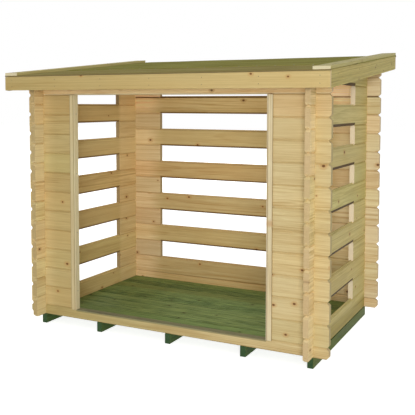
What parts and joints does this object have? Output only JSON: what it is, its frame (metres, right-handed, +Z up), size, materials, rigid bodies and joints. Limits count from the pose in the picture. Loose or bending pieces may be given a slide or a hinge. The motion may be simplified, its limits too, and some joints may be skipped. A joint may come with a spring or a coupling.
{
  "type": "log store",
  "caption": "Open-fronted timber log store of interlocking planks, with air gaps between courses, a boarded floor on runners and a felted mono-pitch roof.",
  "frame": {"origin": "on the ground, under the middle of the roof", "axes": "+X along the front to the right as one faces the opening, +Y from front to back, +Z up"},
  "size_m": [1.95, 1.378, 1.6446],
  "materials": {
    "log_wood": "planed softwood, untreated",
    "fascia_wood": "planed softwood, untreated",
    "jamb_wood": "planed softwood, untreated",
    "treated_trim": "planed softwood, green pressure treated",
    "treated_floor": "sawn softwood, green pressure treated",
    "treated_runner": "sawn softwood, green pressure treated",
    "roof_boards": "sawn softwood",
    "roof_felt": "mineral surfaced bitumen felt, matt",
    "threshold_strip": "dark weathered hardwood strip"
  },
  "bodies": {
    "root": {"back_log_1": "log_wood", "back_log_2": "log_wood", "back_log_3": "log_wood", "back_log_4": "log_wood", "back_log_5": "log_wood", "back_log_6": "log_wood", "back_sill": "log_wood", "back_spacers": "log_wood", "back_top_log": "log_wood", "felt_lower": "roof_felt", "felt_upper": "roof_felt", "floor_boards": "treated_floor", "front_fascia": "fascia_wood", "front_header": "log_wood", "front_left_logs_even": "log_wood", "front_left_logs_odd": "log_wood", "front_right_logs_even": "log_wood", "front_right_logs_odd": "log_wood", "front_sill": "log_wood", "left_barge": "treated_trim", "left_cap": "treated_trim", "left_gable_log_1": "log_wood", "left_gable_log_2": "log_wood", "left_jamb": "jamb_wood", "left_log_1": "log_wood", "left_log_2": "log_wood", "left_log_3": "log_wood", "left_log_4": "log_wood", "left_log_5": "log_wood", "left_log_6": "log_wood", "left_spacers": "log_wood", "rear_fascia": "fascia_wood", "right_barge": "treated_trim", "right_cap": "treated_trim", "right_gable_log_1": "log_wood", "right_gable_log_2": "log_wood", "right_jamb": "jamb_wood", "right_log_1": "log_wood", "right_log_2": "log_wood", "right_log_3": "log_wood", "right_log_4": "log_wood", "right_log_5": "log_wood", "right_log_6": "log_wood", "right_spacers": "log_wood", "roof_deck": "roof_boards", "runners": "treated_runner", "threshold": "threshold_strip"}
  },
  "joints": []
}
